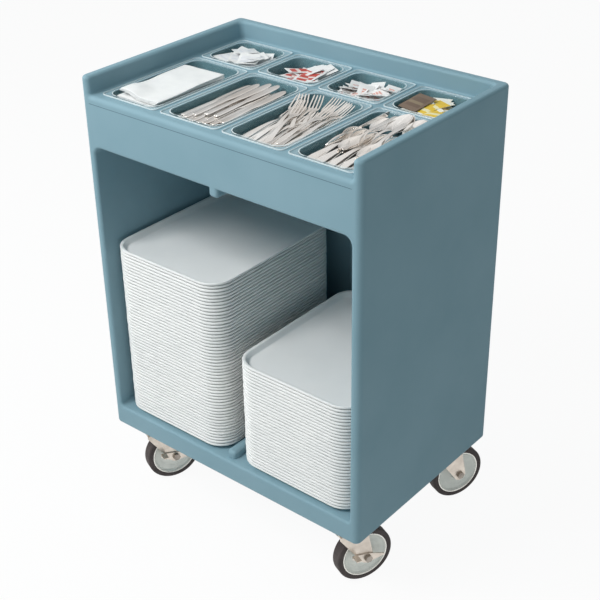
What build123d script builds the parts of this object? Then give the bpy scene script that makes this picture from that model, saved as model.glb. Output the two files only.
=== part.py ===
"""Cutlery cart: a one-piece moulded body on four swivel casters, with eight lift-out pans
in its top and two bays that hold stacks of trays.

Frame: X to the right, Y to the back, Z up. The origin is on the floor, midway between the
body's front and the rearmost point of the back tyres, which trail behind the body.
"""
from build123d import *
from math import cos, radians, sin, sqrt, tan
import os

os.makedirs("parts", exist_ok=True)

# Moulded body
body_width = 820.0
body_depth = 560.0
body_height = 980.0
wall = 25.0                     # double skin, seen at the rim and beside the bays
body_corner_radius = 16.0       # outer upright corners
body_edge_radius = 7.0          # bottom edge
rim_edge_radius = 8.0
rim_height = 46.0               # rim above the deck, on three sides
deck_corner_radius = 14.0       # where the rim's inner faces meet
deck_fillet = 5.0               # where the rim's inner faces meet the deck
ledge_radius = 11.0             # front edge of the deck
fascia_height = 128.0           # deck block over the bays
floor_thickness = 57.0
bay_corner_radius = 22.0        # upper corners of the opening
bay_floor_radius = 10.0         # lower corners, clear of the trays
bay_back_fillet = 10.0
bay_mouth_radius = 7.0          # front edges of the opening
rib_width = 27.0                # divider between the bays, on ceiling, back and floor
rib_height = 22.0
rib_corner_radius = 16.0
rib_edge_radius = 9.0
rib_front_setback = 14.0        # floor rib stands back from the front rail

# Pans: gastronorm thirds in front, sixths behind, 176 wide
long_pan_length = 325.0
short_pan_length = 162.0
pan_gap = 12.0                  # deck strip between two pans, side to side
side_strip = 15.0               # deck strip beside the outer pans
row_gap = 10.0                  # deck strip between the two rows
back_strip = 13.0               # deck strip behind the short pans
pan_depth = 65.0
pan_wall = 2.8
pan_flange = 11.0               # flange outside the pan's own wall
pan_flange_thickness = 3.2
pan_flange_radius = 13.0
pan_corner_radius = 30.0
pan_floor_radius = 9.0
pan_taper = 6.0                 # degrees, so that empty pans nest
well_clearance = 2.5
well_depth = 72.0

# Trays of 356 x 457, one stack in each bay
tray_length = 457.0
tray_side_gap = 7.75            # between a tray and its bay, on each side
tray_height = 16.0
tray_pitch = 9.0                # rise of one nested tray
tray_rest_gap = 0.1             # between one nested tray and the next
tray_corner_radius = 58.0
tray_flare = 24.0               # degrees, slope of a tray's side
tray_lip = 9.0
tray_thickness = 2.6
tray_inset = 12.0               # front of the stack behind the front of the body
left_tray_count = 53
right_tray_count = 33

# Casters, 6 inch
wheel_radius = 76.0
tyre_width = 32.0
tyre_shoulder_radius = 5.0
hub_radius = 62.5               # where the tyre is bonded on
hub_rim_width = 28.0
hub_rim_depth = 4.5
hub_disc_width = 22.0
hub_waist_width = 18.0          # the disc is dished between boss and rim
hub_boss_radius = 17.0
hub_boss_width = 40.0
caster_height = 190.0           # floor to the top of the mounting plate
caster_pad_height = 8.0         # moulded pad over each plate
caster_pad_margin = 8.0
caster_side_inset = 80.0        # kingpin from the body's side
caster_end_inset = 72.0         # kingpin from the body's front or back
swivel_lead = 38.0              # axle behind the kingpin
swivel_angle = 23.0             # degrees that the casters are turned in the photograph
plate_length = 114.0
plate_width = 102.0
plate_thickness = 5.0
plate_corner_radius = 9.0
bolt_spacing_x = 90.0
bolt_spacing_y = 76.0
bolt_radius = 4.8
bolt_head_radius = 8.2          # across the corners
bolt_head_height = 6.0
bolt_hole_clearance = 0.4
race_radius = 36.0
race_waist_radius = 31.0
race_height = 13.0
race_lip_height = 4.0
kingpin_radius = 8.0
kingpin_head_radius = 13.0
kingpin_head_height = 6.0
running_gap = 0.3
cup_radius = 35.0               # pressed cup on the crown, under the race
cup_height = 4.0
crown_thickness = 4.5
fork_inner_width = 44.0         # between the legs
fork_leg_thickness = 4.0
fork_leg_top_width = 74.0
fork_leg_shoulder = 12.0
fork_leg_end_radius = 17.0
fork_bend_radius = 5.0
axle_radius = 6.0
axle_fit = 0.1                  # axle in its holes
axle_head_radius = 10.5         # across the corners
axle_head_height = 6.5
bush_radius = 9.5
brake_thickness = 3.0
brake_hub_radius = 14.0
brake_pedal_reach = 36.0        # pedal ahead of the axle and above it
brake_pedal_rise = 13.0
brake_pedal_end_radius = 7.0
brake_pedal_width = 24.0        # the bent tab that a foot presses
brake_tail_reach = 45.0         # pointed tail behind the axle and below it
brake_tail_drop = 6.0
brake_tail_end_radius = 2.5

# Contents
napkin_drop = 17.0              # top of the contents below the top of the pan
cutlery_drop = 22.0
packet_drop = 12.0
contents_clearance = 3.0

# Levels and places that follow from the sizes above
base_z = caster_height + caster_pad_height
deck_z = base_z + body_height - rim_height
top_z = base_z + body_height
bay_floor_z = base_z + floor_thickness
bay_ceiling_z = deck_z - fascia_height
bay_height = bay_ceiling_z - bay_floor_z
caster_x = body_width / 2 - caster_side_inset
caster_y = body_depth / 2 - caster_end_inset
swivel_turn = radians(swivel_angle)
tyre_reach = (
    (wheel_radius - tyre_shoulder_radius) * cos(swivel_turn)
    + (tyre_width / 2 - tyre_shoulder_radius) * sin(swivel_turn)
    + tyre_shoulder_radius
)
rear_overhang = caster_y + swivel_lead * cos(swivel_turn) + tyre_reach - body_depth / 2
centre_y = -rear_overhang / 2
front_y = centre_y - body_depth / 2
back_y = centre_y + body_depth / 2
inner_width = body_width - 2 * wall
inner_back_y = back_y - wall
bay_depth = inner_back_y - front_y
caster_places = [
    (x_side * caster_x, centre_y + y_side * caster_y) for y_side in (-1, 1) for x_side in (-1, 1)
]
pan_width = (inner_width - 3 * pan_gap - 2 * side_strip) / 4
pan_pitch = pan_width + pan_gap
pan_columns = [(column - 1.5) * pan_pitch for column in range(4)]
short_pan_y = inner_back_y - back_strip - short_pan_length / 2
long_pan_y = short_pan_y - short_pan_length / 2 - row_gap - long_pan_length / 2
bay_width = (inner_width - rib_width) / 2
bay_centre_x = (rib_width + bay_width) / 2
tray_width = bay_width - 2 * tray_side_gap
tray_y = front_y + tray_inset + tray_length / 2
pan_top_z = deck_z + pan_flange_thickness
pan_floor_z = pan_top_z - pan_depth + pan_wall
plate_z = caster_height - plate_thickness
race_z = plate_z - race_height
cup_z = race_z - running_gap
crown_z = cup_z - cup_height
leg_half_width = fork_inner_width / 2 + fork_leg_thickness


def near(value, target):
    """True where two lengths agree to within a hundredth of a millimetre."""
    return abs(value - target) < 0.01


def save(piece, name):
    """Label a finished piece and write it under its name."""
    piece.part.label = name
    export_step(piece.part, f"parts/{name}.step")


def pan_body_size(length):
    """Outer length and width of a pan just below its flange."""
    return length - 2 * pan_flange, pan_width - 2 * pan_flange


# The divider: one rounded rib along the bays' ceiling, down the back wall and along the floor
with BuildPart() as divider_rib:
    with BuildSketch(Plane.YZ) as rib_side:
        with BuildLine():
            Polyline(
                (front_y, bay_ceiling_z + wall / 2),
                (front_y, bay_ceiling_z - rib_height),
                (inner_back_y - rib_height, bay_ceiling_z - rib_height),
                (inner_back_y - rib_height, bay_floor_z + rib_height),
                (front_y + rib_front_setback, bay_floor_z + rib_height),
                (front_y + rib_front_setback, bay_floor_z - wall / 2),
                (inner_back_y + wall / 2, bay_floor_z - wall / 2),
                (inner_back_y + wall / 2, bay_ceiling_z + wall / 2),
                close=True,
            )
        make_face()
        # In this sketch x runs to the back and y up
        inner_corners = rib_side.vertices().filter_by(
            lambda corner: near(corner.X, inner_back_y - rib_height)
        )
        fillet(inner_corners, rib_corner_radius)
        front_corners = rib_side.vertices().filter_by(
            lambda corner: corner.X < front_y + rib_front_setback + 1
            and bay_floor_z < corner.Y < bay_ceiling_z
        )
        fillet(front_corners, rib_edge_radius)
    extrude(amount=rib_width / 2, both=True)
    fillet(
        divider_rib.edges().filter_by(
            lambda edge: near(abs(edge.center().X), rib_width / 2)
            and edge.center().Y < inner_back_y
            and bay_floor_z < edge.center().Z < bay_ceiling_z
        ),
        rib_edge_radius,
    )


with BuildPart() as cart_body:
    with BuildSketch(Plane.XY.offset(base_z)):
        with Locations((0, centre_y)):
            RectangleRounded(body_width, body_depth, body_corner_radius)
    extrude(amount=body_height)
    fillet(cart_body.faces().sort_by(Axis.Z)[0].edges(), body_edge_radius)
    # The deck lies below a rim on three sides and is open to the front
    with BuildSketch(Plane.XY.offset(deck_z)):
        with Locations((0, centre_y - wall)):
            Rectangle(inner_width, body_depth)
    extrude(amount=rim_height, mode=Mode.SUBTRACT)
    fillet(
        cart_body.edges().filter_by(Axis.Z).filter_by(
            lambda edge: near(edge.center().Y, inner_back_y) and edge.center().Z > deck_z
        ),
        deck_corner_radius,
    )
    fillet(
        cart_body.edges().filter_by(
            lambda edge: near(edge.center().Z, deck_z) and not near(edge.center().Y, front_y)
        ),
        deck_fillet,
    )
    fillet(
        cart_body.edges().filter_by(
            lambda edge: near(edge.center().Z, deck_z) and near(edge.center().Y, front_y)
        ),
        ledge_radius,
    )
    fillet(cart_body.edges().filter_by(lambda edge: near(edge.center().Z, top_z)), rim_edge_radius)
    # Both bays are one room behind one opening, parted by the rib
    with BuildSketch(Plane.XZ.offset(-front_y)) as opening:
        with Locations((0, (bay_floor_z + bay_ceiling_z) / 2)):
            Rectangle(inner_width, bay_height)
        fillet(opening.vertices().group_by(Axis.Y)[-1], bay_corner_radius)
        fillet(opening.vertices().group_by(Axis.Y)[0], bay_floor_radius)
    extrude(amount=-bay_depth, mode=Mode.SUBTRACT)
    fillet(
        cart_body.edges().filter_by(
            lambda edge: near(edge.center().Y, inner_back_y) and edge.center().Z < bay_ceiling_z + 1
            and edge.center().Z > bay_floor_z - 1
        ),
        bay_back_fillet,
    )
    add(divider_rib.part)
    fillet(
        cart_body.edges().filter_by(
            lambda edge: near(edge.center().Y, front_y)
            and bay_floor_z - 1 < edge.center().Z < bay_ceiling_z + 1
            and abs(edge.center().X) < inner_width / 2 + 1
        ),
        bay_mouth_radius,
    )
    # Wells that the pans hang in
    for length, row_y in ((long_pan_length, long_pan_y), (short_pan_length, short_pan_y)):
        pan_body_length, pan_body_width = pan_body_size(length)
        with BuildSketch(Plane.XY.offset(deck_z)):
            with Locations([(x, row_y) for x in pan_columns]):
                RectangleRounded(
                    pan_body_width + 2 * well_clearance,
                    pan_body_length + 2 * well_clearance,
                    pan_corner_radius + well_clearance,
                )
        extrude(amount=-well_depth, taper=pan_taper, mode=Mode.SUBTRACT)
    # Moulded pads that the casters are bolted to
    with BuildSketch(Plane.XY.offset(base_z - caster_pad_height)):
        with Locations(caster_places):
            RectangleRounded(
                plate_length + 2 * caster_pad_margin,
                plate_width + 2 * caster_pad_margin,
                plate_corner_radius + caster_pad_margin,
            )
    extrude(amount=caster_pad_height + body_edge_radius)

save(cart_body, "cart_body")


def pan_cavity_size(length, drop):
    """Inside length and width of a pan at some depth below its top."""
    body_length, body_width_here = pan_body_size(length)
    shrink = 2 * (pan_wall + drop * tan(radians(pan_taper)))
    return body_length - shrink, body_width_here - shrink


def make_pan(length, x, y):
    """A pan: flange, tapered wall and rounded floor, open at the top."""
    pan_body_length, pan_body_width = pan_body_size(length)
    cavity_length, cavity_width = pan_cavity_size(length, 0)
    with BuildPart() as pan:
        with BuildSketch(Plane.XY.offset(deck_z)):
            with Locations((x, y)):
                RectangleRounded(pan_body_width, pan_body_length, pan_corner_radius)
        extrude(amount=-(pan_depth - pan_flange_thickness), taper=pan_taper)
        fillet(pan.faces().sort_by(Axis.Z)[0].edges(), pan_floor_radius)
        with BuildSketch(Plane.XY.offset(deck_z)):
            with Locations((x, y)):
                RectangleRounded(pan_width, length, pan_flange_radius)
        extrude(amount=pan_flange_thickness)
        with BuildSketch(Plane.XY.offset(pan_top_z)):
            with Locations((x, y)):
                RectangleRounded(cavity_width, cavity_length, pan_corner_radius - pan_wall)
        extrude(amount=-(pan_depth - pan_wall), taper=pan_taper, mode=Mode.SUBTRACT)
        cavity_floor = pan.faces().filter_by(lambda face: near(face.center().Z, pan_floor_z))
        fillet(cavity_floor.edges(), pan_floor_radius - pan_wall)
    return pan


def make_contents(length, x, y, drop):
    """What lies in a pan, as one closed heap on the pan's floor."""
    heap_length, heap_width = pan_cavity_size(length, drop)
    with BuildPart() as heap:
        with BuildSketch(Plane.XY.offset(pan_top_z - drop)):
            with Locations((x, y)):
                RectangleRounded(
                    heap_width - 2 * contents_clearance,
                    heap_length - 2 * contents_clearance,
                    pan_corner_radius - pan_wall - contents_clearance,
                )
        extrude(amount=-(pan_depth - pan_wall - drop), taper=pan_taper)
        fillet(heap.faces().sort_by(Axis.Z)[0].edges(), pan_floor_radius)
    return heap


for number, x in enumerate(pan_columns, start=1):
    save(make_pan(long_pan_length, x, long_pan_y), f"long_pan_{number}")
    save(make_pan(short_pan_length, x, short_pan_y), f"short_pan_{number}")

for name, x, drop in zip(
    ("napkins", "knives", "forks", "spoons"), pan_columns, (napkin_drop,) + 3 * (cutlery_drop,)
):
    save(make_contents(long_pan_length, x, long_pan_y, drop), name)
for name, x in zip(("packets_white", "packets_long", "packets_small", "packets_yellow"), pan_columns):
    save(make_contents(short_pan_length, x, short_pan_y, packet_drop), name)


def make_nested_trays(x, count):
    """The trays under the top one, each a flared plate that rests on the one below."""
    lip_planes = [Plane.XY.offset(bay_floor_z + (level + 1) * tray_pitch) for level in range(count)]
    with BuildPart() as nest:
        with BuildSketch(*lip_planes):
            with Locations((x, tray_y)):
                tray_outline = Rectangle(tray_width, tray_length)
            chamfer(tray_outline.vertices(), tray_corner_radius * (2 - sqrt(2)))
        extrude(amount=-(tray_pitch - tray_rest_gap), taper=tray_flare)
    return nest


def make_top_tray(x, count):
    """A whole tray: flared side, flat lip and shallow well."""
    rest_z = bay_floor_z + count * tray_pitch
    flare = tray_height * tan(radians(tray_flare))
    with BuildPart() as tray:
        with BuildSketch(Plane.XY.offset(rest_z + tray_height)):
            with Locations((x, tray_y)):
                RectangleRounded(tray_width, tray_length, tray_corner_radius)
        extrude(amount=-tray_height, taper=tray_flare)
        with BuildSketch(Plane.XY.offset(rest_z + tray_height)):
            with Locations((x, tray_y)):
                RectangleRounded(
                    tray_width - 2 * tray_lip,
                    tray_length - 2 * tray_lip,
                    tray_corner_radius - tray_lip,
                )
        extrude(amount=-(tray_height - tray_thickness), taper=tray_flare, mode=Mode.SUBTRACT)
    return tray


for side, x, count in (
    ("left", -bay_centre_x, left_tray_count - 1),
    ("right", bay_centre_x, right_tray_count - 1),
):
    save(make_nested_trays(x, count), f"nested_trays_{side}")
    save(make_top_tray(x, count), f"top_tray_{side}")


def make_caster(name, kingpin_x, kingpin_y, has_brake):
    """Write one swivel caster, piece by piece, turned to the angle it rests at."""
    axle_direction = Vector(cos(swivel_turn), -sin(swivel_turn), 0)
    trail_direction = Vector(sin(swivel_turn), cos(swivel_turn), 0)
    kingpin_foot = Vector(kingpin_x, kingpin_y, 0)
    wheel_centre = kingpin_foot + trail_direction * swivel_lead + Vector(0, 0, wheel_radius)
    axle_line = Axis(wheel_centre, axle_direction)
    swivel_plane = Plane(kingpin_foot, x_dir=axle_direction, z_dir=(0, 0, 1))
    # Half sections through the axle: x along the axle, y outwards from it
    wheel_section = Plane(wheel_centre, x_dir=axle_direction, z_dir=-trail_direction)
    # Outlines across the axle: x to the back, y up
    leg_plane = Plane(wheel_centre, x_dir=trail_direction, z_dir=axle_direction)

    with BuildPart() as plate:
        with BuildSketch(Plane.XY.offset(plate_z)):
            with Locations((kingpin_x, kingpin_y)):
                RectangleRounded(plate_length, plate_width, plate_corner_radius)
                with GridLocations(bolt_spacing_x, bolt_spacing_y, 2, 2):
                    Circle(bolt_radius + bolt_hole_clearance, mode=Mode.SUBTRACT)
                Circle(kingpin_radius, mode=Mode.SUBTRACT)
        extrude(amount=plate_thickness)
    save(plate, f"{name}_plate")

    race_section = Plane(kingpin_foot, x_dir=axle_direction, z_dir=-trail_direction)
    with BuildPart() as race:
        with BuildSketch(race_section):
            with BuildLine():
                Polyline(
                    (kingpin_radius, race_z),
                    (race_waist_radius, race_z),
                    (race_radius, race_z + race_lip_height),
                    (race_radius, plate_z - race_lip_height),
                    (race_waist_radius, plate_z),
                    (kingpin_radius, plate_z),
                    close=True,
                )
            make_face()
        revolve(axis=Axis(kingpin_foot, (0, 0, 1)))
    save(race, f"{name}_race")

    crown_bottom_z = crown_z - crown_thickness
    with BuildPart() as kingpin:
        with BuildSketch(Plane.XY.offset(caster_height)):
            with Locations((kingpin_x, kingpin_y)):
                Circle(kingpin_radius)
        extrude(amount=-(caster_height - crown_bottom_z + running_gap))
        with BuildSketch(Plane.XY.offset(crown_bottom_z - running_gap)):
            with Locations((kingpin_x, kingpin_y)):
                Circle(kingpin_head_radius)
        extrude(amount=-kingpin_head_height)
        fillet(kingpin.faces().sort_by(Axis.Z)[0].edges(), kingpin_head_height / 2)
    save(kingpin, f"{name}_kingpin")

    # The fork is a folded channel, trimmed to the outline of its two legs
    leg_top = crown_z - wheel_radius
    fork_height = leg_top + fork_leg_end_radius
    with BuildPart() as fork:
        with BuildSketch(wheel_section) as channel:
            with Locations((0, leg_top)):
                folded = Rectangle(2 * leg_half_width, fork_height, align=(Align.CENTER, Align.MAX))
            fillet(folded.vertices().group_by(Axis.Y)[-1], fork_bend_radius)
            with Locations((0, leg_top - crown_thickness)):
                Rectangle(
                    fork_inner_width, fork_height, align=(Align.CENTER, Align.MAX), mode=Mode.SUBTRACT
                )
        extrude(amount=swivel_lead + fork_leg_top_width, both=True)
        with BuildSketch(leg_plane):
            Circle(fork_leg_end_radius)
            with Locations((-swivel_lead, leg_top - fork_leg_shoulder / 2)):
                Rectangle(fork_leg_top_width, fork_leg_shoulder)
            make_hull()
            Circle(axle_radius + axle_fit, mode=Mode.SUBTRACT)
        extrude(amount=leg_half_width, both=True, mode=Mode.INTERSECT)
        with BuildSketch(swivel_plane.offset(crown_z)):
            Circle(cup_radius)
        extrude(amount=cup_height)
        with BuildSketch(swivel_plane.offset(cup_z)):
            Circle(kingpin_radius + running_gap)
        extrude(amount=-(cup_height + crown_thickness), mode=Mode.SUBTRACT)
    save(fork, f"{name}_fork")

    brake_space = brake_thickness + 2 * running_gap if has_brake else 0
    with BuildPart() as axle:
        with BuildSketch(leg_plane.offset(-leg_half_width - axle_head_height)):
            Circle(axle_radius)
        extrude(amount=2 * leg_half_width + 2 * axle_head_height + brake_space)
        with BuildSketch(leg_plane.offset(leg_half_width + brake_space)):
            RegularPolygon(axle_head_radius, 6)
        extrude(amount=axle_head_height)
        with BuildSketch(leg_plane.offset(-leg_half_width)):
            RegularPolygon(axle_head_radius, 6)
        extrude(amount=-axle_head_height)
    save(axle, f"{name}_axle")

    with BuildPart() as bush:
        with BuildSketch(leg_plane):
            Circle(bush_radius)
            Circle(axle_radius + axle_fit, mode=Mode.SUBTRACT)
        extrude(amount=fork_inner_width / 2, both=True)
    save(bush, f"{name}_bush")

    bore = bush_radius + running_gap
    with BuildPart() as hub:
        with BuildSketch(wheel_section):
            with BuildLine():
                Polyline(
                    (0, bore),
                    (hub_boss_width / 2, bore),
                    (hub_boss_width / 2, hub_boss_radius),
                    (hub_disc_width / 2, hub_boss_radius + hub_rim_depth),
                    (hub_waist_width / 2, (hub_boss_radius + hub_radius) / 2),
                    (hub_disc_width / 2, hub_radius - 2 * hub_rim_depth),
                    (hub_rim_width / 2, hub_radius - hub_rim_depth),
                    (hub_rim_width / 2, hub_radius),
                    (0, hub_radius),
                    close=True,
                )
            make_face()
            mirror(about=Plane.YZ)
        revolve(axis=axle_line)
    save(hub, f"{name}_hub")

    with BuildPart() as tyre:
        with BuildSketch(wheel_section) as tyre_half:
            with Locations((0, (hub_radius + wheel_radius) / 2)):
                Rectangle(tyre_width, wheel_radius - hub_radius)
            fillet(tyre_half.vertices().group_by(Axis.Y)[-1], tyre_shoulder_radius)
        revolve(axis=axle_line)
    save(tyre, f"{name}_tyre")

    if has_brake:
        brake_plane = leg_plane.offset(leg_half_width + running_gap)
        with BuildPart() as brake:
            with BuildSketch(brake_plane):
                Circle(brake_hub_radius)
                with Locations((-brake_pedal_reach, brake_pedal_rise)):
                    Circle(brake_pedal_end_radius)
                make_hull()
            extrude(amount=brake_thickness)
            with BuildSketch(brake_plane):
                Circle(brake_hub_radius)
                with Locations((brake_tail_reach, -brake_tail_drop)):
                    Circle(brake_tail_end_radius)
                make_hull()
            extrude(amount=brake_thickness)
            # The pedal is bent outwards at the end of its arm
            with BuildSketch(brake_plane):
                with Locations((-brake_pedal_reach, brake_pedal_rise + brake_pedal_end_radius)):
                    Rectangle(2 * brake_pedal_end_radius, brake_thickness, align=(Align.CENTER, Align.MAX))
            extrude(amount=brake_pedal_width)
            with BuildSketch(brake_plane):
                Circle(axle_radius + running_gap)
            extrude(amount=brake_thickness, mode=Mode.SUBTRACT)
        save(brake, f"{name}_brake")


for name, (kingpin_x, kingpin_y) in zip(
    ("front_left", "front_right", "back_left", "back_right"), caster_places
):
    make_caster(name, kingpin_x, kingpin_y, has_brake=name.startswith("front"))

with BuildPart() as caster_bolts:
    with BuildSketch(Plane.XY.offset(plate_z)):
        with Locations(caster_places):
            with GridLocations(bolt_spacing_x, bolt_spacing_y, 2, 2):
                RegularPolygon(bolt_head_radius, 6)
    extrude(amount=-bolt_head_height)
    with BuildSketch(Plane.XY.offset(plate_z)):
        with Locations(caster_places):
            with GridLocations(bolt_spacing_x, bolt_spacing_y, 2, 2):
                Circle(bolt_radius)
    extrude(amount=plate_thickness)
save(caster_bolts, "caster_bolts")
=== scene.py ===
"""Looks of the cutlery cart: pans, cutlery, paper goods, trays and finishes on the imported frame."""

import logging
import math
import random
from contextlib import contextmanager
from dataclasses import dataclass
from enum import Enum
from functools import cache
from typing import Callable, Iterator, Sequence

import bmesh
import bpy
from mathutils import Euler, Matrix, Vector


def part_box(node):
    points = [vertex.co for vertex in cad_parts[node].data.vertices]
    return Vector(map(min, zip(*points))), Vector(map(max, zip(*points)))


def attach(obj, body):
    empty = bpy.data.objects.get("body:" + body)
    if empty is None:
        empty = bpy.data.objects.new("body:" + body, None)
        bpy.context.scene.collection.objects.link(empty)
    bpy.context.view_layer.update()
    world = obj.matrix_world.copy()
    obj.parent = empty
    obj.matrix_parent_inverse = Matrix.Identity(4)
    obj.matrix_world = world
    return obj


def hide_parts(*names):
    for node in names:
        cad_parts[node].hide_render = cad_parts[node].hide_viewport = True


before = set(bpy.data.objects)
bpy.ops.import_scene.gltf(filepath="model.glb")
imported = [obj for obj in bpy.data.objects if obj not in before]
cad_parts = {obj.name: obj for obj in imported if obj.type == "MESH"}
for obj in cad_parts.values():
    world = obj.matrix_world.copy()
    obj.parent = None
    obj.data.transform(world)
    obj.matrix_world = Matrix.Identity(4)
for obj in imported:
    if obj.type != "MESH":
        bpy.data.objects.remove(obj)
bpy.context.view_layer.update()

LOG = logging.getLogger("cutlery_cart")
MM = 0.001
Triple = tuple[float, float, float]
Piece = bpy.types.Object
Socket = bpy.types.NodeSocket
Inputs = dict[str | int, object]


def stand_alone(piece: Piece) -> None:
    """Deselect everything, then select one piece and make it active.

    Args:
        piece: The object to work on.
    """
    bpy.ops.object.select_all(action="DESELECT")
    piece.select_set(True)
    bpy.context.view_layer.objects.active = piece


@contextmanager
def editing(piece: Piece) -> Iterator[None]:
    """Hold one piece in edit mode with nothing selected.

    Args:
        piece: The mesh object to edit.
    """
    stand_alone(piece)
    bpy.ops.object.mode_set(mode="EDIT")
    bpy.ops.mesh.select_mode(type="VERT")
    bpy.ops.mesh.select_all(action="DESELECT")
    yield
    bpy.ops.object.mode_set(mode="OBJECT")


def pick(piece: Piece, wanted: Callable[[bmesh.types.BMVert], bool]) -> None:
    """Select the vertices that pass a test, with the edges and faces between them.

    Args:
        piece: The mesh object in edit mode.
        wanted: The test on a vertex.
    """
    mesh = bmesh.from_edit_mesh(piece.data)
    for corner in mesh.verts:
        corner.select_set(False)
    mesh.select_flush(False)
    for corner in mesh.verts:
        if wanted(corner):
            corner.select_set(True)
    mesh.select_flush_mode()
    bmesh.update_edit_mesh(piece.data)


def grouped(piece: Piece, axis: int) -> list[set[int]]:
    """Group a grid's vertices into rows by one coordinate.

    Args:
        piece: The mesh object in edit mode.
        axis: 0 for columns across X, 1 for rows along Y.

    Returns:
        Sets of vertex numbers, from the lowest coordinate to the highest.
    """
    mesh = bmesh.from_edit_mesh(piece.data)
    rows: dict[float, set[int]] = {}
    for corner in mesh.verts:
        rows.setdefault(round(corner.co[axis], 5), set()).add(corner.index)
    return [rows[key] for key in sorted(rows)]


def grid(name: str, columns: int, rows: int) -> Piece:
    """A flat grid one metre square, centred on the origin.

    Args:
        name: The object's name.
        columns: Faces across.
        rows: Faces along.

    Returns:
        The new mesh object.
    """
    bpy.ops.object.select_all(action="DESELECT")
    bpy.ops.mesh.primitive_grid_add(
        x_subdivisions=columns, y_subdivisions=rows, size=1, location=(0, 0, 0)
    )
    piece = bpy.context.active_object
    piece.name = name
    return piece


def apply_modifier(piece: Piece, name: str, kind: str, **settings: object) -> None:
    """Add a modifier to a piece and apply it.

    Args:
        piece: The object to finish.
        name: The modifier's name.
        kind: Blender's modifier type.
        **settings: Values set on the modifier.
    """
    stand_alone(piece)
    modifier = piece.modifiers.new(name, kind)
    for key, value in settings.items():
        setattr(modifier, key, value)
    bpy.ops.object.modifier_apply(modifier=modifier.name)


def smooth(piece: Piece, degrees: float) -> None:
    """Shade a piece smooth, up to an angle in degrees between faces."""
    stand_alone(piece)
    bpy.ops.object.shade_smooth_by_angle(angle=math.radians(degrees))


def copy_of(piece: Piece, place: Matrix) -> Piece:
    """Copy a piece with its own mesh and put the copy in its place.

    Args:
        piece: The object to copy.
        place: Where the copy's mesh goes.

    Returns:
        The new object, at the origin.
    """
    twin = piece.copy()
    twin.data = piece.data.copy()
    twin.data.transform(place)
    bpy.context.scene.collection.objects.link(twin)
    return twin


def joined(name: str, parts: Sequence[Piece]) -> Piece:
    """Join objects into one named piece.

    Args:
        name: The piece's name.
        parts: The objects, of which the first is kept.

    Returns:
        The joined object.
    """
    bpy.ops.object.select_all(action="DESELECT")
    for part in parts:
        part.select_set(True)
    bpy.context.view_layer.objects.active = parts[0]
    bpy.ops.object.join()
    whole = bpy.context.view_layer.objects.active
    whole.name = name
    whole.data.name = name
    return whole


def posed(
    x: float, y: float, z: float, yaw: float = 0.0, pitch: float = 0.0, roll: float = 0.0
) -> Matrix:
    """A turn in degrees, with the far end up by the pitch, then a move in metres."""
    turn = Euler((math.radians(pitch), math.radians(roll), math.radians(yaw)), "YXZ")
    return Matrix.Translation((x, y, z)) @ turn.to_matrix().to_4x4()


@dataclass(frozen=True)
class Outline:
    """A rounded rectangle, centred on the upright axis at some height, in metres."""

    width: float
    length: float
    radius: float
    height: float

    def inset(self, amount: float, height: float) -> "Outline":
        """The same outline moved inwards, or outwards where negative, at another height."""
        size = self.width - 2 * amount, self.length - 2 * amount
        return Outline(*size, max(self.radius - amount, MM), height)

    def beyond(self, place: Vector) -> float:
        """How far outside the outline a point lies, seen from above.

        Args:
            place: The point.

        Returns:
            The distance, negative inside.
        """
        across = abs(place.x) - self.width / 2 + self.radius
        along = abs(place.y) - self.length / 2 + self.radius
        return math.hypot(max(across, 0), max(along, 0)) + min(max(across, along), 0) - self.radius

    def holds(self, place: Vector) -> bool:
        """True where a point lies on this outline."""
        return abs(place.z - self.height) < 1e-6 and abs(self.beyond(place)) < 2e-5


def loft(name: str, outlines: Sequence[Outline], segments: int) -> Piece:
    """A closed skin through a run of rounded rectangles.

    Args:
        name: The piece's name.
        outlines: The outlines in order. The first and last are filled in.
        segments: Edges in each rounded corner.

    Returns:
        The new mesh object, at the origin.
    """
    bpy.ops.object.select_all(action="DESELECT")
    bpy.ops.mesh.primitive_plane_add(size=1, location=(0, 0, 0))
    piece = bpy.context.active_object
    piece.name = name
    with editing(piece):
        bpy.ops.mesh.select_all(action="SELECT")
        bpy.ops.mesh.delete(type="VERT")
        for line in outlines:
            bpy.ops.mesh.primitive_plane_add(size=1, location=(0, 0, line.height))
            bpy.ops.transform.resize(
                value=(line.width, line.length, 1), center_override=(0, 0, line.height)
            )
            bpy.ops.mesh.bevel(
                offset=line.radius, segments=segments, affect="VERTICES", clamp_overlap=False
            )
        bpy.ops.mesh.select_all(action="SELECT")
        bpy.ops.mesh.delete(type="ONLY_FACE")
        for lower, upper in zip(outlines, outlines[1:]):
            pick(piece, lambda v, a=lower, b=upper: a.holds(v.co) or b.holds(v.co))
            bpy.ops.mesh.bridge_edge_loops()
        for end in (outlines[0], outlines[-1]):
            pick(piece, lambda v, a=end: a.holds(v.co))
            bpy.ops.mesh.edge_face_add()
        bpy.ops.mesh.select_all(action="SELECT")
        bpy.ops.mesh.normals_make_consistent(inside=False)
    return piece


@dataclass(frozen=True)
class Station:
    """One row across a strip: how far along it lies, its width, height and dish, in millimetres."""

    along: float
    width: float
    height: float = 0.0
    dish: float = 0.0


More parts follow.
